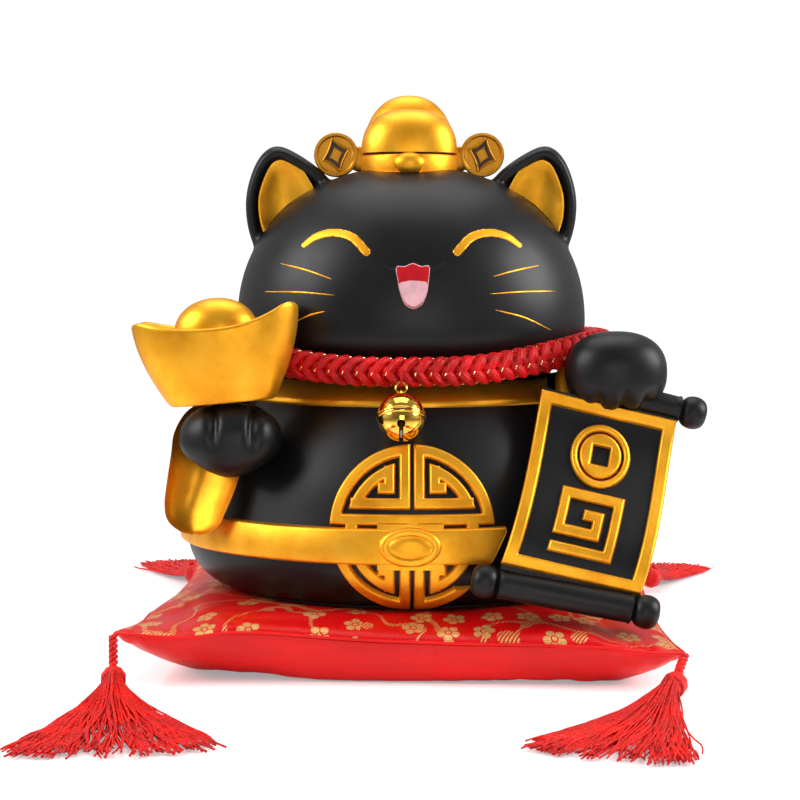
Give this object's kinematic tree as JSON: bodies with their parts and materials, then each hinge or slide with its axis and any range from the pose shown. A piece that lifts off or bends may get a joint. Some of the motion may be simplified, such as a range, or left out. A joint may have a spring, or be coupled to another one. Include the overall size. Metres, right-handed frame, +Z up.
{
  "type": "beckoning cat figurine",
  "caption": "Seated lucky cat figurine in black and gold, with a hat, an ingot in one paw, a scroll under the other, a belly bell on a rope collar, on a square tasselled cushion.",
  "frame": {"origin": "centre of the cushion's flat underside, on the surface it rests on", "axes": "+Z up; the cat faces -Y; +X is to the right as seen from the front, and left and right in names are as seen from the front"},
  "size_m": [0.3248, 0.4798, 0.2468],
  "materials": {
    "brocade": "red brocade woven with gold flowers",
    "satin": "glossy red satin",
    "wadding": "loose white fibre",
    "black_resin": "cast resin with satin black paint",
    "gold_paint": "cast resin with brushed satin gold paint",
    "felt": "dark pressed felt",
    "red_cord": "red silky cord",
    "bell_brass": "polished",
    "steel": "plain"
  },
  "bodies": {
    "cushion": {"cushion_top_cover": "brocade", "cushion_bottom_cover": "satin", "cushion_wadding": "wadding"},
    "cat": {"torso_shell": "black_resin", "base_felt": "felt", "head_shell": "black_resin", "ear_lining_left": "gold_paint", "ear_lining_right": "gold_paint", "tail": "black_resin", "hat_band": "gold_paint", "hat_band_boss": "gold_paint", "hat_front_dome": "gold_paint", "hat_rear_dome": "gold_paint", "hat_coin_left": "gold_paint", "hat_coin_right": "gold_paint", "arm_left": "black_resin", "sleeve_left": "black_resin", "sleeve_lining_left": "gold_paint", "ingot_boat": "gold_paint", "ingot_dome": "gold_paint", "arm_right": "black_resin", "cuff_right": "gold_paint", "scroll_sheet": "black_resin", "scroll_border": "gold_paint", "scroll_coin_ornament": "gold_paint", "scroll_fret_ornament": "gold_paint", "scroll_top_rod": "black_resin", "scroll_bottom_rod": "black_resin", "belt": "gold_paint", "belt_buckle_ring": "gold_paint", "belt_buckle_boss": "gold_paint", "neckline_band": "gold_paint", "roundel_upper": "gold_paint", "roundel_lower": "gold_paint", "collar_rope": "red_cord", "collar_knot": "red_cord", "bell_thread_loop": "red_cord"},
    "bell_ring": {"bell_jump_ring": "bell_brass"},
    "bell": {"bell_upper_shell": "bell_brass", "bell_lower_shell": "bell_brass"},
    "pellet": {"bell_pellet": "steel"},
    "tassel_front_left": {"tassel_cord_front_left": "red_cord", "tassel_head_front_left": "red_cord", "tassel_skirt_front_left": "red_cord"},
    "tassel_front_right": {"tassel_cord_front_right": "red_cord", "tassel_head_front_right": "red_cord", "tassel_skirt_front_right": "red_cord"},
    "tassel_back_left": {"tassel_cord_back_left": "red_cord", "tassel_head_back_left": "red_cord", "tassel_skirt_back_left": "red_cord"},
    "tassel_back_right": {"tassel_cord_back_right": "red_cord", "tassel_head_back_right": "red_cord", "tassel_skirt_back_right": "red_cord"}
  },
  "joints": [
    {"name": "cat_lift", "type": "slide", "parent": "cushion", "child": "cat", "axis": [0, 0, 1], "range_m": [0, 0.12]},
    {"name": "ring_swing", "type": "hinge", "parent": "cat", "child": "bell_ring", "pos_m": [-0.0045, -0.08039, 0.12193], "axis": [-1, 0, 0], "range_deg": [0, 80]},
    {"name": "bell_swing", "type": "hinge", "parent": "bell_ring", "child": "bell", "pos_m": [-0.0045, -0.08244, 0.1178], "axis": [0, 0.8961, -0.4439], "range_deg": [-25, 25]},
    {"name": "pellet_rattle", "type": "slide", "parent": "bell", "child": "pellet", "axis": [0, 0, 1], "range_m": [0, 0.0115]},
    {"name": "tassel_front_left_swing", "type": "hinge", "parent": "cushion", "child": "tassel_front_left", "pos_m": [-0.12139, -0.1093, 0.0215], "axis": [-0.9806, -0.1961, 0], "range_deg": [0, 70]},
    {"name": "tassel_front_right_swing", "type": "hinge", "parent": "cushion", "child": "tassel_front_right", "pos_m": [0.1093, -0.12139, 0.0155], "axis": [-0.947, 0.3213, 0], "range_deg": [0, 70]},
    {"name": "tassel_back_left_swing", "type": "hinge", "parent": "cushion", "child": "tassel_back_left", "pos_m": [-0.1093, 0.12139, 0.0175], "axis": [0.9701, 0.2425, 0], "range_deg": [0, 70]},
    {"name": "tassel_back_right_swing", "type": "hinge", "parent": "cushion", "child": "tassel_back_right", "pos_m": [0.12139, 0.1093, 0.0185], "axis": [0.9642, -0.2652, 0], "range_deg": [0, 70]}
  ]
}
